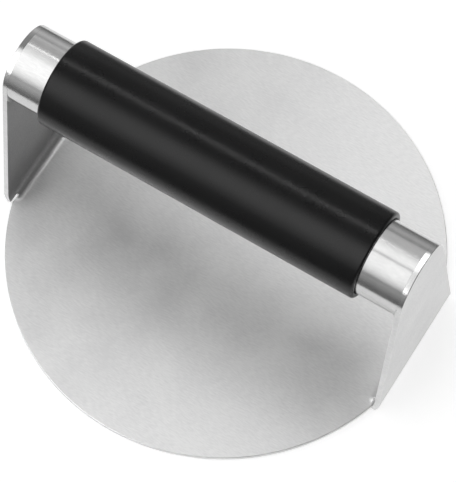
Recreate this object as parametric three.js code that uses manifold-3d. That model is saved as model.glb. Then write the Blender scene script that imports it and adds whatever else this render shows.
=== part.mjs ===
// Round press for bacon and burgers. One stainless sheet makes the round foot and, folded up at
// two sides, the two ends that carry the handle. The handle is a steel tube welded between the
// ends, with a silicone grip sleeve that can be pushed along it.
// Millimetres, +Z up. The origin is the centre of the underside, and the handle lies along X.
import * as THREE from 'three';
import { mergeVertices } from 'three/addons/utils/BufferGeometryUtils.js';
import Module from 'manifold-3d';

// Foot and upturned ends
const footRadius = 71;
const sheet = 1.8;
const foldInside = 3.7;          // inside radius of each fold
const endSpan = 140.4;           // over the outer faces of the two ends
const endWidth = 44.8;           // width of an end where its flat part leaves the fold
const rootWidth = 38.6;          // width of a fold between its two relief cuts
const reliefAt = 67.2;           // distance from the centre to a relief cut's straight side
const earHeight = 3;             // height of an end's lower corners above the underside

// Handle
const axisHeight = 63;           // centre line of the tube above the underside
const tubeRadius = 12.5;
const tubeWall = 1.2;
const gripWall = 2;
const gripLength = 111;
const gripCentre = -1;           // the sleeve's middle at rest, along the handle
const gripEdge = 0.9;            // round on the sleeve's outer edges
const boreSlack = 0.2;           // between the sleeve's bore and the tube
const weldLeg = 1;
const weldStart = 20;            // degrees below the level of the axis where a weld begins
const seat = 0.3;                // clearance kept between fixed pieces that touch

// Worked out
const foldOutside = foldInside + sheet;
const innerFace = endSpan / 2 - sheet;
const foldStart = endSpan / 2 - foldOutside;
const topHeight = axisHeight + tubeRadius;
const tubeLength = 2 * (innerFace - seat);

// How finely the solids are made
const roundSteps = 96;           // around the handle, and twice round the foot's rim
const foldSteps = 12;            // round each fold
const crownSteps = 40;           // over the top of each end
const edgeSteps = 3;             // round each edge of the grip
const overcut = 5;               // how far cutting blocks reach past what they cut
const mergeGap = 1e-4;           // vertices closer than this are one

const wasm = await Module();
wasm.setup();

function solidOf(geometry) {
  const bare = geometry.clone();
  bare.deleteAttribute('normal');
  bare.deleteAttribute('uv');
  const merged = mergeVertices(bare, mergeGap);
  const triVerts = new Uint32Array(merged.index.array);
  const vertProperties = merged.attributes.position.array;
  return new wasm.Manifold(new wasm.Mesh({ numProp: 3, vertProperties, triVerts }));
}

function geometryOf(solid) {
  const mesh = solid.getMesh();
  const indexed = new THREE.BufferGeometry();
  indexed.setAttribute('position', new THREE.BufferAttribute(mesh.vertProperties, 3));
  indexed.setIndex(new THREE.BufferAttribute(mesh.triVerts, 1));
  const flat = indexed.toNonIndexed();
  flat.computeVertexNormals();
  return flat;
}

// An extrusion whose shape is drawn in the x-z plane, reaching the same way to both sides in y.
function alongY(shape, width, steps) {
  const settings = { depth: width, bevelEnabled: false, curveSegments: steps };
  const geometry = new THREE.ExtrudeGeometry(shape, settings);
  geometry.translate(0, 0, -width / 2);
  geometry.rotateX(Math.PI / 2);
  return geometry;
}

// An extrusion whose shape is drawn in the y-z plane, from x = 0 to x = depth.
function alongX(shape, depth, steps) {
  const settings = { depth, bevelEnabled: false, curveSegments: steps };
  const geometry = new THREE.ExtrudeGeometry(shape, settings);
  geometry.rotateX(Math.PI / 2);
  geometry.rotateZ(Math.PI / 2);
  return geometry;
}

// The flat foot: a disc that stops at the fold lines, and at the relief cuts beside them.
function foot() {
  const root = rootWidth / 2;
  const cornerY = Math.sqrt(footRadius ** 2 - reliefAt ** 2);
  const corner = Math.atan2(cornerY, reliefAt);
  const shape = new THREE.Shape();
  shape.moveTo(foldStart, -root);
  shape.lineTo(foldStart, root);
  shape.lineTo(reliefAt, root);
  shape.lineTo(reliefAt, cornerY);
  shape.absarc(0, 0, footRadius, corner, Math.PI - corner, false);
  shape.lineTo(-reliefAt, root);
  shape.lineTo(-foldStart, root);
  shape.lineTo(-foldStart, -root);
  shape.lineTo(-reliefAt, -root);
  shape.lineTo(-reliefAt, -cornerY);
  shape.absarc(0, 0, footRadius, Math.PI + corner, 2 * Math.PI - corner, false);
  shape.lineTo(reliefAt, -root);
  const settings = { depth: sheet, bevelEnabled: false, curveSegments: roundSteps / 2 };
  return new THREE.ExtrudeGeometry(shape, settings);
}

// Side view of one end: the foot's last millimetres, the fold and the upright, one sheet thick.
function foldProfile() {
  const shape = new THREE.Shape();
  shape.moveTo(foldStart - overcut, 0);
  shape.lineTo(foldStart, 0);
  shape.absarc(foldStart, foldOutside, foldOutside, -Math.PI / 2, 0, false);
  shape.lineTo(endSpan / 2, topHeight + overcut);
  shape.lineTo(innerFace, topHeight + overcut);
  shape.lineTo(innerFace, foldOutside);
  shape.absarc(foldStart, foldOutside, foldInside, 0, -Math.PI / 2, true);
  shape.lineTo(foldStart - overcut, sheet);
  shape.closePath();
  return shape;
}

// Front view of one end: narrow between the relief cuts, then tapering up to the tube's round.
function endOutline() {
  const root = rootWidth / 2;
  const half = endWidth / 2;
  const drop = axisHeight - foldOutside;
  const reach = Math.hypot(half, drop);
  const lean = Math.acos(tubeRadius / reach) - Math.atan2(drop, half);
  const earHalf = half + (foldOutside - earHeight) * Math.tan(lean);
  const shape = new THREE.Shape();
  shape.moveTo(-root, -overcut);
  shape.lineTo(root, -overcut);
  shape.lineTo(root, earHeight);
  shape.lineTo(earHalf, earHeight);
  shape.absarc(0, axisHeight, tubeRadius, lean, Math.PI - lean, false);
  shape.lineTo(-earHalf, earHeight);
  shape.lineTo(-root, earHeight);
  shape.closePath();
  return shape;
}

function upturnedEnd() {
  const strip = solidOf(alongY(foldProfile(), endWidth + 2 * overcut, foldSteps));
  const outline = solidOf(alongX(endOutline(), endSpan, crownSteps));
  return strip.intersect(outline);
}

function pressPlate() {
  const right = geometryOf(upturnedEnd());
  const left = right.clone().rotateZ(Math.PI);
  return geometryOf(solidOf(foot()).add(solidOf(right)).add(solidOf(left)));
}

// A turned ring about the handle's axis. Its section is a list of [radius, place along the axis].
function turned(section, steps) {
  const points = section.map(([radius, place]) => new THREE.Vector2(radius, place));
  points.push(points[0].clone());
  return new THREE.LatheGeometry(points, steps);
}

function handleTube() {
  const end = tubeLength / 2;
  const bore = tubeRadius - tubeWall;
  return turned([[bore, -end], [tubeRadius, -end], [tubeRadius, end], [bore, end]], roundSteps);
}

// The points of a quarter round, from start to start + 90 degrees.
function quarterRound(radius, place, start) {
  const points = [];
  for (let step = 0; step <= edgeSteps; step += 1) {
    const angle = start + (step / edgeSteps) * (Math.PI / 2);
    points.push([radius + gripEdge * Math.cos(angle), place + gripEdge * Math.sin(angle)]);
  }
  return points;
}

function gripSleeve() {
  const end = gripLength / 2;
  const bore = tubeRadius + boreSlack;
  const shoulder = tubeRadius + gripWall - gripEdge;
  const section = [
    [bore, -end],
    ...quarterRound(shoulder, gripEdge - end, -Math.PI / 2),
    ...quarterRound(shoulder, end - gripEdge, 0),
    [bore, end],
  ];
  return turned(section, roundSteps);
}

// The weld in the corner below the tube, where the end is wider than the tube.
function weldFillet() {
  const near = tubeRadius + seat;
  const ring = turned([[near, 0], [near, -weldLeg], [near + weldLeg, 0]], roundSteps);
  ring.rotateZ(-Math.PI / 2);
  const reach = 2 * (near + weldLeg);
  const below = new THREE.BoxGeometry(4 * weldLeg, 2 * reach, reach);
  const top = -tubeRadius * Math.sin(THREE.MathUtils.degToRad(weldStart));
  below.translate(0, 0, top - reach / 2);
  return geometryOf(solidOf(ring).intersect(solidOf(below)));
}

function steel(roughness, shade) {
  const color = new THREE.Color(shade, shade, shade);
  return new THREE.MeshStandardMaterial({ color, roughness, metalness: 1 });
}

function silicone() {
  return new THREE.MeshStandardMaterial({ color: 0x191919, roughness: 0.55, metalness: 0 });
}

function named(name, geometry, material) {
  const mesh = new THREE.Mesh(geometry, material);
  mesh.name = name;
  return mesh;
}

const press = new THREE.Group();
press.add(named('press_plate', pressPlate(), steel(0.38, 0.72)));

const handle = new THREE.Group();
handle.position.z = axisHeight;
press.add(handle);

const tube = named('handle_tube', handleTube(), steel(0.22, 0.76));
tube.rotation.z = -Math.PI / 2;
handle.add(tube);

const grip = named('grip_sleeve', gripSleeve(), silicone());
grip.rotation.z = -Math.PI / 2;
grip.position.x = gripCentre;
handle.add(grip);

const weldPlace = innerFace - seat;
const rightWeld = named('right_weld', weldFillet(), steel(0.45, 0.6));
rightWeld.position.x = weldPlace;
handle.add(rightWeld);

const leftWeld = named('left_weld', weldFillet(), steel(0.45, 0.6));
leftWeld.rotation.z = Math.PI;
leftWeld.position.x = -weldPlace;
handle.add(leftWeld);

export default press;
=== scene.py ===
# A round steel press for bacon and burgers. One sheet is cut, slotted and folded up at two
# sides, a tube is welded between the folded ends, and a silicone grip slides on the tube.
# Every place is in metres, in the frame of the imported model, with the handle along X.
import math

import bmesh
import bpy
from mathutils import Matrix, Vector


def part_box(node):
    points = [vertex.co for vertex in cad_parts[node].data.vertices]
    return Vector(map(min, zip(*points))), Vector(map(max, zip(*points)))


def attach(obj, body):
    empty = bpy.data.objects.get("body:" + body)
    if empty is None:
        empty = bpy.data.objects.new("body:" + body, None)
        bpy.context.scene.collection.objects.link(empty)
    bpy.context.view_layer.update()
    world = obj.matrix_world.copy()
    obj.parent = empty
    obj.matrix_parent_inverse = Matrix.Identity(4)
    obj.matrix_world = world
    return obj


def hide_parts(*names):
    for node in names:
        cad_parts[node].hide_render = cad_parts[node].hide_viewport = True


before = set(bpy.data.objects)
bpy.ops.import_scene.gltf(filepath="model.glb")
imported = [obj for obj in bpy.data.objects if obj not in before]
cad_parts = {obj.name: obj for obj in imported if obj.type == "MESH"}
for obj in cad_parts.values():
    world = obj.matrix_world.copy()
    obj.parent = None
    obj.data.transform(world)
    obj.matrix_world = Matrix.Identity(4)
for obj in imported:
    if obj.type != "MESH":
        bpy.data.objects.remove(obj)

scene = bpy.context.scene
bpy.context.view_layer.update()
mm = 0.001
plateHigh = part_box("press_plate")[1]
tubeLow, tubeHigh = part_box("handle_tube")
gripLow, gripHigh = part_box("grip_sleeve")
axisHeight = (tubeLow.z + tubeHigh.z) / 2
tubeRadius = (tubeHigh.y - tubeLow.y) / 2
onLine = 1e-7                # metres within which a vertex lies on a line or plane
mergeReach = 1e-6            # metres within which two vertices become one
seamReach = 1e-5             # metres within which an edge counts as the welded seam
noiseMiddle = (0.3, 0.7)     # most of a noise's values lie between these
print("frame loaded,", len(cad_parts), "nodes")


# Helpers that add and join shader nodes.

def newMaterial(name):
    material = bpy.data.materials.new(name)
    material.use_nodes = True
    return material, material.node_tree


def addNode(tree, kind, label=None, **values):
    node = tree.nodes.new(kind)
    node.label = label or ""
    for key, value in values.items():
        setattr(node, key, value)
    return node


def newGroup(name, inputs, outputs):
    tree = bpy.data.node_groups.new(name, "ShaderNodeTree")
    for label, kind, value in inputs:
        socket = tree.interface.new_socket(label, in_out="INPUT", socket_type=kind)
        if value is not None:
            socket.default_value = value
    for label, kind in outputs:
        tree.interface.new_socket(label, in_out="OUTPUT", socket_type=kind)
    return tree, tree.nodes.new("NodeGroupInput"), tree.nodes.new("NodeGroupOutput")


def useGroup(tree, group, **values):
    node = tree.nodes.new("ShaderNodeGroup")
    node.node_tree = group
    for key, value in values.items():
        node.inputs[key].default_value = value
    return node


def maths(tree, operation, first, second=None, clamp=False):
    node = addNode(tree, "ShaderNodeMath", operation=operation, use_clamp=clamp)
    for socket, value in zip(node.inputs, (first, second)):
        if isinstance(value, bpy.types.NodeSocket):
            tree.links.new(value, socket)
        elif value is not None:
            socket.default_value = value
    return node.outputs[0]


def remap(tree, value, fromLow, fromHigh, toLow, toHigh):
    node = addNode(tree, "ShaderNodeMapRange")
    tree.links.new(value, node.inputs["Value"])
    for key, number in zip(("From Min", "From Max", "To Min", "To Max"),
                           (fromLow, fromHigh, toLow, toHigh)):
        node.inputs[key].default_value = number
    return node.outputs[0]


def noiseAt(tree, vector, scale, detail=2.0, roughness=0.5):
    node = addNode(tree, "ShaderNodeTexNoise")
    tree.links.new(vector, node.inputs["Vector"])
    node.inputs["Scale"].default_value = scale
    node.inputs["Detail"].default_value = detail
    node.inputs["Roughness"].default_value = roughness
    return node.outputs["Fac"]


def mixTones(tree, label, share, first, second):
    node = addNode(tree, "ShaderNodeMix", label, data_type="RGBA")
    tree.links.new(share, node.inputs[0])
    for socket, value in zip(node.inputs[6:8], (first, second)):
        if isinstance(value, bpy.types.NodeSocket):
            tree.links.new(value, socket)
        else:
            socket.default_value = (*value, 1)
    return node.outputs[2]


def addBump(tree, height, look, shader):
    bump = addNode(tree, "ShaderNodeBump")
    bump.inputs["Strength"].default_value = look["bumpStrength"]
    bump.inputs["Distance"].default_value = look["bumpDepth"]
    tree.links.new(height, bump.inputs["Height"])
    tree.links.new(bump.outputs[0], shader.inputs["Normal"])


# Effects that more than one finish can use, each a node group.

# Finely blasted and rubbed steel: a tight even tooth, slow cloudy patches and stray hairlines.
grainEffect = {
    "toothDetail": 3.0,
    "cloudDetail": 5.0, "cloudRoughness": 0.6,
    "brushTurn": (0, 0, 0.9), "brushScale": (480, 2600, 1100), "brushDetail": 4.0,
    "hairlines": ((0.55, 0.0), (-0.95, 3.1), (1.9, 7.7)),    # each one's turn and seed
    "hairlineScale": (14, 1500, 300), "hairlineFrom": 0.66, "hairlineFull": 0.8,
}


def makeSatinGrain(effect):
    tree, given, result = newGroup(
        "satinGrain",
        [("Vector", "NodeSocketVector", None), ("Tooth", "NodeSocketFloat", 3200.0),
         ("Patch", "NodeSocketFloat", 34.0), ("Hairline", "NodeSocketFloat", 0.3)],
        [("Height", "NodeSocketFloat"), ("Cloud", "NodeSocketFloat"), ("Fleck", "NodeSocketFloat"),
         ("Scratch", "NodeSocketFloat")])
    tooth = addNode(tree, "ShaderNodeTexNoise", "tooth")
    tree.links.new(given.outputs["Vector"], tooth.inputs["Vector"])
    tree.links.new(given.outputs["Tooth"], tooth.inputs["Scale"])
    tooth.inputs["Detail"].default_value = effect["toothDetail"]
    cloud = addNode(tree, "ShaderNodeTexNoise", "cloud")
    tree.links.new(given.outputs["Vector"], cloud.inputs["Vector"])
    tree.links.new(given.outputs["Patch"], cloud.inputs["Scale"])
    cloud.inputs["Detail"].default_value = effect["cloudDetail"]
    cloud.inputs["Roughness"].default_value = effect["cloudRoughness"]
    brushed = addNode(tree, "ShaderNodeMapping", "brushing direction")
    brushed.inputs["Rotation"].default_value = effect["brushTurn"]
    brushed.inputs["Scale"].default_value = effect["brushScale"]
    tree.links.new(given.outputs["Vector"], brushed.inputs["Vector"])
    fleck = noiseAt(tree, brushed.outputs[0], 1.0, effect["brushDetail"])
    lines = []
    for turn, seed in effect["hairlines"]:
        turned = addNode(tree, "ShaderNodeMapping", "hairline direction")
        turned.inputs["Rotation"].default_value = (0, 0, turn)
        turned.inputs["Location"].default_value = (seed, seed, 0)
        turned.inputs["Scale"].default_value = effect["hairlineScale"]
        tree.links.new(given.outputs["Vector"], turned.inputs["Vector"])
        streak = noiseAt(tree, turned.outputs[0], 1.0)
        lines.append(remap(tree, streak, effect["hairlineFrom"], effect["hairlineFull"], 0.0, 1.0))
    scratch = maths(tree, "MAXIMUM", maths(tree, "MAXIMUM", lines[0], lines[1]), lines[2])
    scratch = maths(tree, "MULTIPLY", scratch, given.outputs["Hairline"])
    height = maths(tree, "SUBTRACT", tooth.outputs["Fac"], scratch)
    tree.links.new(height, result.inputs["Height"])
    tree.links.new(cloud.outputs["Fac"], result.inputs["Cloud"])
    tree.links.new(fleck, result.inputs["Fleck"])
    tree.links.new(scratch, result.inputs["Scratch"])
    return tree


# Where a rounded edge turns away from the face beside it, handling has rubbed it brighter.
wearEffect = {
    "samples": 4,
    "facing": 0.995, "turned": 0.86,         # cosines where the rubbing starts and is full
    "breakScale": 420.0, "breakDetail": 4.0, "breakFrom": 0.35, "breakFull": 0.65,
    "leastRubbed": 0.3,
}


def makeEdgeWear(effect):
    tree, given, result = newGroup(
        "edgeWear",
        [("Vector", "NodeSocketVector", None), ("Reach", "NodeSocketFloat", 0.6 * mm),
         ("Amount", "NodeSocketFloat", 0.6)],
        [("Mask", "NodeSocketFloat")])
    rounded = addNode(tree, "ShaderNodeBevel", "rounded normal", samples=effect["samples"])
    tree.links.new(given.outputs["Reach"], rounded.inputs["Radius"])
    plain = addNode(tree, "ShaderNodeNewGeometry", "plain normal")
    dot = addNode(tree, "ShaderNodeVectorMath", operation="DOT_PRODUCT")
    tree.links.new(rounded.outputs[0], dot.inputs[0])
    tree.links.new(plain.outputs["Normal"], dot.inputs[1])
    edge = remap(tree, dot.outputs["Value"], effect["facing"], effect["turned"], 0.0, 1.0)
    broken = noiseAt(tree, given.outputs["Vector"], effect["breakScale"], effect["breakDetail"])
    broken = remap(tree, broken, effect["breakFrom"], effect["breakFull"],
                   effect["leastRubbed"], 1.0)
    mask = maths(tree, "MULTIPLY", maths(tree, "MULTIPLY", edge, broken), given.outputs["Amount"])
    tree.links.new(mask, result.inputs["Mask"])
    return tree


# Fine dust: sparse specks over a faint film that gathers in slow patches.
dustEffect = {
    "speckCore": 0.1, "speckEdge": 0.2,      # a speck's size in cells of its pattern
    "keepFrom": 0.86, "keepFull": 0.9,       # only cells that draw more than this hold a speck
    "filmScale": 55.0, "filmDetail": 4.0, "filmFrom": 0.4, "filmFull": 0.75, "filmMost": 0.35,
}


def makeDust(effect):
    tree, given, result = newGroup(
        "dust",
        [("Vector", "NodeSocketVector", None), ("Speck", "NodeSocketFloat", 900.0),
         ("Amount", "NodeSocketFloat", 0.2)],
        [("Mask", "NodeSocketFloat")])
    specks = addNode(tree, "ShaderNodeTexVoronoi", "specks", feature="F1")
    tree.links.new(given.outputs["Vector"], specks.inputs["Vector"])
    tree.links.new(given.outputs["Speck"], specks.inputs["Scale"])
    near = remap(tree, specks.outputs["Distance"], effect["speckCore"], effect["speckEdge"],
                 1.0, 0.0)
    chosen = addNode(tree, "ShaderNodeSeparateColor")
    tree.links.new(specks.outputs["Color"], chosen.inputs[0])
    some = remap(tree, chosen.outputs[0], effect["keepFrom"], effect["keepFull"], 0.0, 1.0)
    film = noiseAt(tree, given.outputs["Vector"], effect["filmScale"], effect["filmDetail"])
    film = remap(tree, film, effect["filmFrom"], effect["filmFull"], 0.0, effect["filmMost"])
    both = maths(tree, "ADD", maths(tree, "MULTIPLY", near, some), film, clamp=True)
    tree.links.new(maths(tree, "MULTIPLY", both, given.outputs["Amount"]), result.inputs["Mask"])
    return tree


# The band of sheet that wraps over the top of each tube end, told by its distance from the axis.
crownEffect = {
    "startInside": 0.9 * mm, "fullInside": 0.2 * mm,    # inside the tube's radius
    "startHeight": -1 * mm, "fullHeight": 2 * mm,       # above the handle's axis
}


def makeCrownShine(effect):
    tree, given, result = newGroup(
        "crownShine", [("Vector", "NodeSocketVector", None)], [("Mask", "NodeSocketFloat")])
    split = addNode(tree, "ShaderNodeSeparateXYZ")
    tree.links.new(given.outputs["Vector"], split.inputs[0])
    up = maths(tree, "SUBTRACT", split.outputs["Z"], axisHeight)
    across = maths(tree, "MULTIPLY", split.outputs["Y"], split.outputs["Y"])
    away = maths(tree, "SQRT", maths(tree, "ADD", across, maths(tree, "MULTIPLY", up, up)))
    outside = remap(tree, away, tubeRadius - effect["startInside"],
                    tubeRadius - effect["fullInside"], 0.0, 1.0)
    above = remap(tree, up, effect["startHeight"], effect["fullHeight"], 0.0, 1.0)
    tree.links.new(maths(tree, "MULTIPLY", outside, above), result.inputs["Mask"])
    return tree


satinGrain = makeSatinGrain(grainEffect)
edgeWear = makeEdgeWear(wearEffect)
crownShine = makeCrownShine(crownEffect)
dust = makeDust(dustEffect)
print("shared effects built")


# The finishes themselves.

def makeSteel(name, look):
    material, tree = newMaterial(name)
    shader = tree.nodes["Principled BSDF"]
    shader.inputs["Metallic"].default_value = 1.0
    place = addNode(tree, "ShaderNodeTexCoord").outputs["Object"]
    grain = useGroup(tree, satinGrain, Tooth=look["tooth"], Patch=look["patch"],
                     Hairline=look["hairline"])
    worn = useGroup(tree, edgeWear, Reach=look["edgeReach"], Amount=look["edgeAmount"])
    for group in (grain, worn):
        tree.links.new(place, group.inputs["Vector"])
    cloudy = remap(tree, grain.outputs["Cloud"], *noiseMiddle, 0.0, 1.0)
    flecked = remap(tree, grain.outputs["Fleck"], *noiseMiddle, -look["fleck"], look["fleck"])
    tone = mixTones(tree, "cloudy tone", maths(tree, "ADD", cloudy, flecked, clamp=True),
                    look["darkTone"], look["lightTone"])
    tone = mixTones(tree, "rubbed edges", worn.outputs["Mask"], tone, look["wornTone"])
    rough = remap(tree, grain.outputs["Cloud"], *noiseMiddle, look["roughLow"], look["roughHigh"])
    if "crown" in look:
        # The rim over the tube's end was polished along with the tube.
        polished = useGroup(tree, crownShine)
        tree.links.new(place, polished.inputs["Vector"])
        tone = mixTones(tree, "polished crown", polished.outputs["Mask"], tone, look["crown"])
        drop = maths(tree, "SUBTRACT", rough, look["crownRough"])
        rough = maths(tree, "SUBTRACT", rough,
                      maths(tree, "MULTIPLY", drop, polished.outputs["Mask"]))
    tree.links.new(tone, shader.inputs["Base Color"])
    scratched = maths(tree, "MULTIPLY", grain.outputs["Scratch"], look["scratchRough"])
    rubbed = maths(tree, "MULTIPLY", worn.outputs["Mask"], look["wornSmooth"])
    rough = maths(tree, "SUBTRACT", maths(tree, "ADD", rough, scratched), rubbed)
    tree.links.new(rough, shader.inputs["Roughness"])
    height = grain.outputs["Height"]
    if "turningDepth" in look:
        # Rings left by the polishing belt, round the tube and close together along it.
        rings = addNode(tree, "ShaderNodeMapping", "belt marks")
        rings.inputs["Scale"].default_value = look["turningScale"]
        tree.links.new(place, rings.inputs["Vector"])
        mark = noiseAt(tree, rings.outputs[0], 1.0, look["turningDetail"])
        height = maths(tree, "ADD", height, maths(tree, "MULTIPLY", mark, look["turningDepth"]))
    addBump(tree, height, look, shader)
    return material


plateSteelLook = {
    "darkTone": (0.62, 0.62, 0.622), "lightTone": (0.73, 0.73, 0.728), "wornTone": (0.8, 0.8, 0.8),
    "crown": (0.56, 0.56, 0.56), "crownRough": 0.2,
    "tooth": 2600.0, "patch": 42.0, "hairline": 0.5, "fleck": 0.4,
    "roughLow": 0.4, "roughHigh": 0.47, "scratchRough": 0.1, "wornSmooth": 0.12,
    "edgeReach": 0.6 * mm, "edgeAmount": 0.5,
    "bumpStrength": 0.35, "bumpDepth": 0.04 * mm,
}
tubeSteelLook = {
    "darkTone": (0.53, 0.53, 0.53), "lightTone": (0.58, 0.58, 0.578), "wornTone": (0.7, 0.7, 0.7),
    "tooth": 3400.0, "patch": 90.0, "hairline": 0.2, "fleck": 0.4,
    "roughLow": 0.15, "roughHigh": 0.2, "scratchRough": 0.1, "wornSmooth": 0.12,
    "edgeReach": 0.5 * mm, "edgeAmount": 0.3,
    "turningDepth": 0.7, "turningScale": (2600, 45, 45), "turningDetail": 3.0,
    "bumpStrength": 0.25, "bumpDepth": 0.03 * mm,
}
weldSteelLook = {
    "darkTone": (0.47, 0.47, 0.472), "lightTone": (0.56, 0.56, 0.558),
    "wornTone": (0.66, 0.66, 0.66),
    "tooth": 1500.0, "patch": 260.0, "hairline": 0.5, "fleck": 0.5,
    "roughLow": 0.27, "roughHigh": 0.4, "scratchRough": 0.1, "wornSmooth": 0.12,
    "edgeReach": 0.4 * mm, "edgeAmount": 0.3,
    "bumpStrength": 0.5, "bumpDepth": 0.08 * mm,
}
siliconeLook = {
    "base": (0.0035, 0.0035, 0.0036), "dusty": (0.055, 0.055, 0.056),
    "roughLow": 0.25, "roughHigh": 0.3, "specular": 0.18,
    "skin": 5200.0, "skinDetail": 3.0,
    "ripple": 140.0, "rippleDetail": 3.0, "rippleDepth": 0.15,
    "speck": 1300.0, "dustAmount": 0.06, "dustRough": 0.5,
    "bumpStrength": 0.3, "bumpDepth": 0.03 * mm,
}


def makeSilicone(name, look):
    material, tree = newMaterial(name)
    shader = tree.nodes["Principled BSDF"]
    shader.inputs["Specular IOR Level"].default_value = look["specular"]
    place = addNode(tree, "ShaderNodeTexCoord").outputs["Object"]
    dusty = useGroup(tree, dust, Speck=look["speck"], Amount=look["dustAmount"])
    tree.links.new(place, dusty.inputs["Vector"])
    colour = mixTones(tree, "dusty rubber", dusty.outputs["Mask"], look["base"], look["dusty"])
    tree.links.new(colour, shader.inputs["Base Color"])
    ripple = noiseAt(tree, place, look["ripple"], look["rippleDetail"])
    rough = remap(tree, ripple, *noiseMiddle, look["roughLow"], look["roughHigh"])
    dull = maths(tree, "MULTIPLY", dusty.outputs["Mask"], look["dustRough"])
    tree.links.new(maths(tree, "ADD", rough, dull), shader.inputs["Roughness"])
    height = maths(tree, "ADD", noiseAt(tree, place, look["skin"], look["skinDetail"]),
                   maths(tree, "MULTIPLY", ripple, look["rippleDepth"]))
    addBump(tree, height, look, shader)
    return material


plateSteel = makeSteel("plateSteel", plateSteelLook)
tubeSteel = makeSteel("tubeSteel", tubeSteelLook)
weldSteel = makeSteel("weldSteel", weldSteelLook)
gripSilicone = makeSilicone("gripSilicone", siliconeLook)
print("finishes built")


# Helpers that cut and finish meshes.

def cutAcross(work, point, normal, faces=None, dropOuter=False, dropInner=False):
    chosen = list(work.faces) if faces is None else faces
    parts = set(chosen)
    for face in chosen:
        parts.update(face.edges)
        parts.update(face.verts)
    bmesh.ops.bisect_plane(work, geom=list(parts), dist=onLine, plane_co=point, plane_no=normal,
                           clear_outer=dropOuter, clear_inner=dropInner)


def facesBetween(work, start, end=math.inf):
    return [f for f in work.faces if start < f.calc_center_median().x < end]


def vertsIn(geom):
    return [v for v in geom if isinstance(v, bmesh.types.BMVert)]


def finishPiece(work, name, body, nodeName, material):
    mesh = bpy.data.meshes.new(name)
    work.to_mesh(mesh)
    work.free()
    mesh.materials.append(material)
    for face in mesh.polygons:
        face.use_smooth = True
    piece = bpy.data.objects.new(name, mesh)
    scene.collection.objects.link(piece)
    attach(piece, body)
    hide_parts(nodeName)
    return piece


def roundEdges(piece, sizes):
    bevel = piece.modifiers.new("roundedEdges", "BEVEL")
    bevel.width = sizes["edgeRound"]
    bevel.segments = sizes["edgeSteps"]
    bevel.limit_method = "ANGLE"
    bevel.angle_limit = sizes["sharpAngle"]
    bevel.use_clamp_overlap = False
    bevel.harden_normals = True


def keepFlats(piece):
    flats = piece.modifiers.new("flatFacesStayFlat", "WEIGHTED_NORMAL")
    flats.keep_sharp = True
    flats.weight = 100           # the broad faces decide


# The press plate: the foot and its two folded ends, one sheet.
plateSizes = {
    "sheet": 1.8 * mm,
    "foldInside": 3.7 * mm,
    "endWidth": 44.8 * mm,       # an end's width where it leaves the fold
    "rootHalf": 19.3 * mm,       # from the middle of a fold to the slot beside it
    "foldSteps": 16,
    "flatRows": 4,               # steps of flat foot before the fold that are cut into rows
    "slotStart": 6,              # steps round the fold to the slot's side on the foot
    "slotEnd": 8,                # and to its side on the upright end
    "rimSteps": 288,
    "crownSteps": 56,
    "easeSteps": 4,
    "edgeRound": 0.22 * mm,
    "edgeSteps": 3,
    "sharpAngle": math.radians(40),
}


# How far an end's sides lean in to run on into the tube's circle.
def sideLean():
    drop = axisHeight - (plateSizes["foldInside"] + plateSizes["sheet"])
    half = plateSizes["endWidth"] / 2
    return math.acos(tubeRadius / math.hypot(half, drop)) - math.atan2(drop, half)


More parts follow.
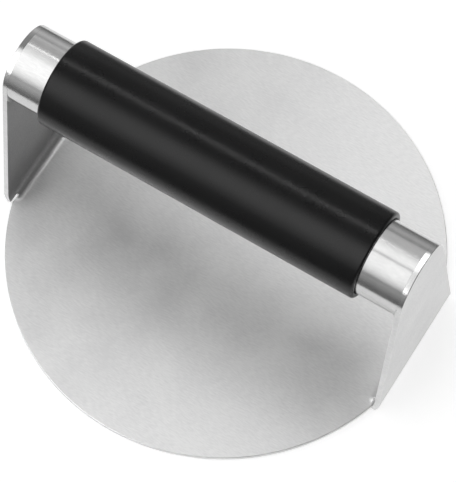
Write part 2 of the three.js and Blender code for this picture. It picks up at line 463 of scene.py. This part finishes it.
def makePressPlate(sizes):
    sheet = sizes["sheet"]
    outside = sizes["foldInside"] + sheet
    middle = sizes["foldInside"] + sheet / 2
    foldStart = plateHigh.x - outside
    foldLength = middle * math.pi / 2
    step = foldLength / sizes["foldSteps"]
    rowsFrom = foldStart - sizes["flatRows"] * step
    slotIn = foldStart + sizes["slotStart"] * step
    slotOut = foldStart + sizes["slotEnd"] * step
    root = sizes["rootHalf"]
    rim = plateHigh.y
    axisPlace = foldStart + foldLength + axisHeight - outside
    lean = sideLean()

    # Half of the flat blank, out to the slots.
    work = bmesh.new()
    bmesh.ops.create_circle(work, cap_ends=True, radius=rim, segments=sizes["rimSteps"])
    cutAcross(work, (0, 0, 0), (1, 0, 0), dropInner=True)
    cutAcross(work, (slotIn, 0, 0), (1, 0, 0), dropOuter=True)
    cutAcross(work, (rowsFrom, 0, 0), (1, 0, 0))
    corner = math.sqrt(rim ** 2 - slotIn ** 2)
    for side in (-1, 1):
        for ease in range(sizes["easeSteps"]):
            place = root + (corner - root) * ease / sizes["easeSteps"]
            cutAcross(work, (0, side * place, 0), (0, 1, 0), facesBetween(work, rowsFrom))
    for row in range(-1, sizes["slotStart"]):
        cutAcross(work, (foldStart + row * step, 0, 0), (1, 0, 0), facesBetween(work, rowsFrom))

    # The upright end, lying flat: its crown is the tube's circle, its foot runs out to two ears.
    bmesh.ops.create_circle(work, cap_ends=True, radius=tubeRadius,
                            segments=2 * sizes["crownSteps"],
                            matrix=Matrix.Translation((axisPlace, 0, 0)))
    tangent = axisPlace + tubeRadius * math.sin(lean)
    cutAcross(work, (tangent, 0, 0), (1, 0, 0), facesBetween(work, slotOut), dropInner=True)
    chord = [e for e in work.edges if all(abs(v.co.x - tangent) < onLine for v in e.verts)]
    pulled = bmesh.ops.extrude_edge_only(work, edges=chord)["geom"]
    earHalf = sizes["endWidth"] / 2 + foldLength / 2 * math.tan(lean)
    for vert in vertsIn(pulled):
        vert.co = (slotOut, math.copysign(earHalf, vert.co.y), 0)
    for row in range(sizes["slotEnd"] + 1, sizes["foldSteps"] + 1):
        cutAcross(work, (foldStart + row * step, 0, 0), (1, 0, 0), facesBetween(work, slotOut))
    for side in (-1, 1):
        lower = facesBetween(work, slotOut, foldStart + foldLength + step)
        cutAcross(work, (0, side * root, 0), (0, 1, 0), lower)

    # The neck between the slots joins the two.
    neck = [e for e in work.edges
            if all(abs(v.co.x - slotIn) < onLine and abs(v.co.y) < root + onLine for v in e.verts)]
    for row in range(sizes["slotStart"] + 1, sizes["slotEnd"] + 1):
        grown = bmesh.ops.extrude_edge_only(work, edges=neck)["geom"]
        for vert in vertsIn(grown):
            vert.co.x = foldStart + row * step
        neck = [e for e in grown if isinstance(e, bmesh.types.BMEdge)
                and all(abs(v.co.x - (foldStart + row * step)) < onLine for v in e.verts)]
    bmesh.ops.remove_doubles(work, verts=work.verts, dist=mergeReach)

    # Fold up the sheet's upper face. Beside a slot the foot eases from the fold down to flat.
    for vert in work.verts:
        along = vert.co.x - foldStart
        vert.co.z = sheet
        if along <= 0:
            continue
        ease = 1.0
        if vert.co.x < (slotIn + slotOut) / 2 and abs(vert.co.y) > root:
            share = min((abs(vert.co.y) - root) / (corner - root), 1.0)
            ease = 1 - share * share * (3 - 2 * share)
        turn = min(along / middle, math.pi / 2)
        rise = outside - sizes["foldInside"] * math.cos(turn) + max(along - foldLength, 0.0)
        reach = foldStart + sizes["foldInside"] * math.sin(turn)
        vert.co.z += (rise - sheet) * ease
        vert.co.x += (reach - vert.co.x) * ease

    whole = list(work.verts) + list(work.edges) + list(work.faces)
    bmesh.ops.mirror(work, geom=whole, matrix=Matrix.Identity(4), merge_dist=mergeReach, axis="X")
    bmesh.ops.recalc_face_normals(work, faces=work.faces)
    low = min(work.faces, key=lambda f: f.calc_center_median().length)
    if low.normal.z < 0:
        bmesh.ops.reverse_faces(work, faces=work.faces)
    bmesh.ops.solidify(work, geom=list(work.faces), thickness=sheet)

    # Deburr every sharp edge but the crown's inner one, which is welded and ground flush.
    crownBase = axisHeight + tubeRadius * math.sin(lean)
    inner = plateHigh.x - sheet
    sharp = []
    for edge in work.edges:
        welded = all(abs(abs(v.co.x) - inner) < seamReach and v.co.z > crownBase - seamReach
                     and abs(math.hypot(v.co.y, v.co.z - axisHeight) - tubeRadius) < seamReach
                     for v in edge.verts)
        if welded:
            edge.smooth = False
        elif edge.is_manifold and edge.calc_face_angle() > sizes["sharpAngle"]:
            sharp.append(edge)
    bmesh.ops.bevel(work, geom=sharp, offset=sizes["edgeRound"], offset_type="OFFSET",
                    affect="EDGES", segments=sizes["edgeSteps"], profile=0.5, material=-1,
                    clamp_overlap=False, harden_normals=False)
    return work


pressPlate = finishPiece(makePressPlate(plateSizes), "pressPlate", "press", "press_plate",
                         plateSteel)
keepFlats(pressPlate)
print("press plate folded")


# The handle tube.
tubeSizes = {
    "wall": 1.2 * mm,
    "steps": 192,
    "bays": 6,                   # lengths between rings of vertices
    "edgeRound": 0.05 * mm,
    "edgeSteps": 1,
    "sharpAngle": math.radians(60),
}


def spinAboutHandle(work, steps):
    bmesh.ops.spin(work, geom=list(work.verts) + list(work.edges), cent=(0, 0, axisHeight),
                   axis=(1, 0, 0), angle=math.tau, steps=steps, use_merge=True)
    bmesh.ops.remove_doubles(work, verts=work.verts, dist=mergeReach)
    bmesh.ops.recalc_face_normals(work, faces=work.faces)


# A strip above the handle's axis, from one radius to another, ready to be spun.
def sectionStrip(work, start, end, inner, outer, bays):
    bmesh.ops.create_grid(work, x_segments=bays, y_segments=1, size=0.5)
    bmesh.ops.scale(work, vec=(end - start, outer - inner, 1), verts=work.verts)
    bmesh.ops.rotate(work, cent=(0, 0, 0), matrix=Matrix.Rotation(math.pi / 2, 3, "X"),
                     verts=work.verts)
    bmesh.ops.translate(work, verts=work.verts,
                        vec=((start + end) / 2, 0, axisHeight + (inner + outer) / 2))


# Leave only a strip's outline, so that its wall is hollow once it is spun.
def keepOutline(work, start, end):
    bmesh.ops.delete(work, geom=list(work.faces), context="FACES_ONLY")
    inner = [e for e in work.edges if abs((e.verts[0].co - e.verts[1].co).x) < onLine
             and min(abs(e.verts[0].co.x - start), abs(e.verts[0].co.x - end)) > mergeReach]
    bmesh.ops.delete(work, geom=inner, context="EDGES")


def makeTube(sizes):
    work = bmesh.new()
    end = plateHigh.x - plateSizes["sheet"]
    sectionStrip(work, -end, end, tubeRadius - sizes["wall"], tubeRadius, sizes["bays"])
    keepOutline(work, -end, end)
    spinAboutHandle(work, sizes["steps"])
    return work


handleTube = finishPiece(makeTube(tubeSizes), "handleTube", "press", "handle_tube",
                         tubeSteel)
roundEdges(handleTube, tubeSizes)
print("tube turned")


# The grip sleeve.
gripSizes = {
    "slack": 0.2 * mm,           # between the bore and the tube
    "outerRound": 0.9 * mm,
    "outerSteps": 6,
    "boreRound": 0.35 * mm,
    "boreSteps": 3,
    "steps": 192,
    "bays": 12,
}


def makeGrip(sizes):
    work = bmesh.new()
    bore = tubeRadius + sizes["slack"]
    outer = (gripHigh.y - gripLow.y) / 2
    sectionStrip(work, gripLow.x, gripHigh.x, bore, outer, sizes["bays"])
    keepOutline(work, gripLow.x, gripHigh.x)
    for radius, size, segments in ((outer, sizes["outerRound"], sizes["outerSteps"]),
                                   (bore, sizes["boreRound"], sizes["boreSteps"])):
        corners = [v for v in work.verts if abs(v.co.z - axisHeight - radius) < onLine
                   and min(abs(v.co.x - gripLow.x), abs(v.co.x - gripHigh.x)) < onLine]
        bmesh.ops.bevel(work, geom=corners, offset=size, offset_type="OFFSET", affect="VERTICES",
                        segments=segments, profile=0.5, material=-1)
    spinAboutHandle(work, sizes["steps"])
    return work


finishPiece(makeGrip(gripSizes), "gripSleeve", "grip", "grip_sleeve",
            gripSilicone)
print("grip moulded")


# The welds between the tube and the ends.
weldSizes = {
    "leg": 0.85 * mm,            # along the tube and the plate, where there is room for it
    "least": 0.03 * mm,          # what is left of it where it runs out at the crown
    "startBelow": math.radians(3),   # from the crown's straight sides to the bead's ends
    "steps": 160,
    "toeCut": 0.999,             # of the leg, cut off its far corner
    "faceCurve": 0.3,            # 0.25 is a flat face and 0.5 a round one
    "faceSteps": 4,
    "fill": 0.9,                 # of the plate left beyond the tube, where that is narrow
}


def makeWeld(sizes, side):
    work = bmesh.new()
    face = plateHigh.x - plateSizes["sheet"]
    lean = sideLean()
    leg = sizes["leg"]
    sectionStrip(work, face - leg, face, tubeRadius, tubeRadius + leg, 1)
    toe = [v for v in work.verts
           if v.co.x < face - leg / 2 and v.co.z > axisHeight + tubeRadius + leg / 2]
    bmesh.ops.bevel(work, geom=toe, offset=leg * sizes["toeCut"], offset_type="OFFSET",
                    affect="VERTICES", segments=sizes["faceSteps"],
                    profile=sizes["faceCurve"], material=-1)
    begin = math.pi / 2 - lean + sizes["startBelow"]
    bmesh.ops.rotate(work, cent=(0, 0, axisHeight), matrix=Matrix.Rotation(-begin, 3, "X"),
                     verts=work.verts)
    bmesh.ops.spin(work, geom=list(work.verts) + list(work.edges) + list(work.faces),
                   cent=(0, 0, axisHeight), axis=(1, 0, 0), angle=-(math.tau - 2 * begin),
                   steps=sizes["steps"])
    for vert in work.verts:
        out = Vector((0, vert.co.y, vert.co.z - axisHeight))
        below = math.atan2(out.z, abs(out.y))
        spare = tubeRadius / math.cos(below - lean) - tubeRadius
        room = min(max(spare * sizes["fill"], sizes["least"]), leg) / leg
        out *= (tubeRadius + (out.length - tubeRadius) * room) / out.length
        vert.co = Vector((face + (vert.co.x - face) * room, out.y, axisHeight + out.z))
    if side < 0:
        bmesh.ops.scale(work, vec=(-1, 1, 1), verts=work.verts)
    bmesh.ops.remove_doubles(work, verts=work.verts, dist=onLine)
    bmesh.ops.recalc_face_normals(work, faces=work.faces)
    return work


for side, name, node in ((1, "rightWeld", "right_weld"), (-1, "leftWeld", "left_weld")):
    finishPiece(makeWeld(weldSizes, side), name, "press", node, weldSteel)
print("welds laid")


# A pale floor fills the view. Only the nearer part of it, a small card, shows in the steel.
floorLook = {
    "size": 3.0,
    "cardLow": (-0.3, -0.115),
    "cardHigh": (0.3, 0.145),
    "tone": (0.86, 0.86, 0.86),
    "roughness": 0.6,
    "glow": 0.45,
    "drop": 0.02 * mm,
}


def stageSheet(name, low, high, height, material):
    work = bmesh.new()
    bmesh.ops.create_grid(work, x_segments=1, y_segments=1, size=0.5)
    bmesh.ops.scale(work, vec=(high[0] - low[0], high[1] - low[1], 1), verts=work.verts)
    bmesh.ops.translate(work, verts=work.verts,
                        vec=((low[0] + high[0]) / 2, (low[1] + high[1]) / 2, height))
    mesh = bpy.data.meshes.new(name)
    work.to_mesh(mesh)
    work.free()
    mesh.materials.append(material)
    sheet = bpy.data.objects.new(name, mesh)
    scene.collection.objects.link(sheet)
    return sheet


def makeFloor(look):
    material, tree = newMaterial("floorPaper")
    shader = tree.nodes["Principled BSDF"]
    shader.inputs["Base Color"].default_value = (*look["tone"], 1)
    shader.inputs["Roughness"].default_value = look["roughness"]
    shader.inputs["Emission Color"].default_value = (1, 1, 1, 1)
    shader.inputs["Emission Strength"].default_value = look["glow"]
    half = look["size"] / 2
    floor = stageSheet("floor", (-half, -half), (half, half), -2 * look["drop"], material)
    floor.visible_glossy = False
    stageSheet("card", look["cardLow"], look["cardHigh"], -look["drop"], material)


makeFloor(floorLook)

# A wide scrim hangs overhead. Each finish has its own, so that each can be lit to suit it.
# A fall is its axis, from, to and what is left of the light at "from". A bar is its low
# corner, high corner, soft edge and strength. All of it is seen from above, in the press's
# own frame.
scrimSpace = {"height": 0.66, "low": (-0.8, -1.9), "high": (0.8, 1.3)}
plateScrim = {
    "bright": 3.85,
    "falls": [("X", -0.21, 0.01, 0.57), ("X", 0.08, -0.023, 0.0),
              ("Y", 0.015, 0.343, 0.65), ("Y", 1.3, 0.75, 0.1)],
    "bars": [((-0.9, 0.05), (-0.13, 1.5), 0.04, 0.12),
             ((-0.9, -2.5), (-0.165, -0.117), 0.03, 2.2),
             ((-0.13, -2.5), (0.9, -0.05), 0.04, 0.6)],
}
tubeScrim = {
    "bright": 1.7,
    "falls": [("X", 0.0, -0.22, 0.88), ("X", 0.3, 0.1, 0.2),
              ("Y", 0.5, 0.04, 0.43), ("Y", 1.3, 0.7, 0.5), ("Y", -1.7, -0.35, 0.32)],
    "bars": [((-0.1, -0.12), (0.8, -0.055), 0.02, 0.45),
             ((-0.9, 0.0), (-0.17, 0.9), 0.07, 0.75),
             ((-0.33, 0.303), (-0.08, 0.317), 0.003, 7.0)],
}
gripScrim = {
    "bright": 3.05,
    "falls": [("Y", 0.02, -0.3, 0.12), ("Y", -1.3, -0.5, 0.4)],
    "bars": [((-0.6, 0.303), (0.3, 0.343), 0.01, 36.0)],
}
floorScrim = {
    "bright": 0.9,
    "falls": [("X", -0.8, -0.3, 0.6), ("Y", 0.8, 0.3, 0.6)],
    "bars": [],
}


def makeScrim(name, look, receivers):
    low, high = scrimSpace["low"], scrimSpace["high"]
    light = bpy.data.lights.new(name, "AREA")
    light.shape = "RECTANGLE"
    light.size, light.size_y = high[0] - low[0], high[1] - low[1]
    light.energy = look["bright"] * math.pi * light.size * light.size_y    # bright in a mirror
    light.use_nodes = True
    tree = light.node_tree
    split = addNode(tree, "ShaderNodeSeparateXYZ")
    tree.links.new(addNode(tree, "ShaderNodeNewGeometry").outputs["Parametric"], split.inputs[0])

    def ramp(axis, start, end, startValue, endValue):
        corner = low["XY".index(axis)]
        reach = high["XY".index(axis)] - corner
        value = remap(tree, split.outputs[axis], (start - corner) / reach, (end - corner) / reach,
                      startValue, endValue)
        value.node.interpolation_type = "SMOOTHSTEP"
        return value

    level = 1.0
    for axis, start, end, least in look["falls"]:
        level = maths(tree, "MULTIPLY", ramp(axis, start, end, least, 1.0), level)
    for barLow, barHigh, soft, strength in look["bars"]:
        inside = 1.0
        for axis, start, end in zip("XY", barLow, barHigh):
            rising = ramp(axis, start - soft, start + soft, 0.0, 1.0)
            falling = ramp(axis, end - soft, end + soft, 1.0, 0.0)
            inside = maths(tree, "MULTIPLY", maths(tree, "MULTIPLY", rising, falling), inside)
        change = maths(tree, "ADD", maths(tree, "MULTIPLY", inside, strength - 1), 1.0)
        level = maths(tree, "MULTIPLY", change, level)
    tree.links.new(level, tree.nodes["Emission"].inputs["Strength"])
    lamp = bpy.data.objects.new(name, light)
    scene.collection.objects.link(lamp)
    lamp.location = ((low[0] + high[0]) / 2, (low[1] + high[1]) / 2, scrimSpace["height"])
    lamp.visible_camera = False
    lit = bpy.data.collections.new(name + "Lit")
    for piece in receivers:
        lit.objects.link(bpy.data.objects[piece])
    lamp.light_linking.receiver_collection = lit


makeScrim("plateScrim", plateScrim, ["pressPlate"])
makeScrim("tubeScrim", tubeScrim, ["handleTube", "leftWeld", "rightWeld"])
makeScrim("gripScrim", gripScrim, ["gripSleeve"])
makeScrim("floorScrim", floorScrim, ["floor", "card"])

# The room around the scrims: its tones, and where along each axis one turns into the next.
worldLook = {
    "back": 0.5, "front": 0.38, "depthBlend": (-0.6, 0.6),
    "left": 1.9, "right": 0.5, "sideBlend": (-0.45, 0.1),
    "above": 0.06, "aboveBlend": (0.15, 0.6),
    "below": 0.18, "belowBlend": (-0.35, 0.1),
}


def makeWorld(look):
    world = bpy.data.worlds.new("studio")
    scene.world = world
    world.use_nodes = True
    tree = world.node_tree
    background = tree.nodes["Background"]
    split = addNode(tree, "ShaderNodeSeparateXYZ")
    tree.links.new(addNode(tree, "ShaderNodeTexCoord").outputs["Generated"], split.inputs[0])
    level = remap(tree, split.outputs["Y"], *look["depthBlend"], look["front"], look["back"])
    side = remap(tree, split.outputs["X"], *look["sideBlend"], look["left"], look["right"])
    level = maths(tree, "MULTIPLY", level, side)
    above = remap(tree, split.outputs["Z"], *look["aboveBlend"], 0.0, 1.0)
    below = remap(tree, split.outputs["Z"], *look["belowBlend"], 0.0, 1.0)
    lift = maths(tree, "SUBTRACT", look["above"], level)
    tone = maths(tree, "ADD", level, maths(tree, "MULTIPLY", lift, above))
    fall = maths(tree, "SUBTRACT", tone, look["below"])
    tone = maths(tree, "ADD", maths(tree, "MULTIPLY", fall, below), look["below"])
    tree.links.new(tone, background.inputs["Color"])
    background.inputs["Strength"].default_value = 1.0


makeWorld(worldLook)
scene.view_settings.view_transform = "Standard"
scene.view_settings.look = "None"
print("studio lit")


# The camera looks down from the front right, rolled a little.
cameraLook = {
    "azimuth": 35.47,
    "elevation": 67.43,
    "roll": -3.99,
    "distance": 0.8544,
    "lens": 205.1,
    "sensor": 36,
    "clip": (0.05, 20),
    "aim": (5.66 * mm, -6.35 * mm, 26.91 * mm),
}


def makeCamera(look):
    data = bpy.data.cameras.new("camera")
    data.lens = look["lens"]
    data.sensor_width = look["sensor"]
    data.clip_start, data.clip_end = look["clip"]
    camera = bpy.data.objects.new("camera", data)
    scene.collection.objects.link(camera)
    azimuth, elevation, roll = (math.radians(look[k]) for k in ("azimuth", "elevation", "roll"))
    turn = (Matrix.Rotation(azimuth, 4, "Z") @ Matrix.Rotation(math.pi / 2 - elevation, 4, "X")
            @ Matrix.Rotation(roll, 4, "Z"))
    camera.matrix_world = (Matrix.Translation(look["aim"]) @ turn
                           @ Matrix.Translation((0, 0, look["distance"])))
    scene.camera = camera


makeCamera(cameraLook)
print("camera set")
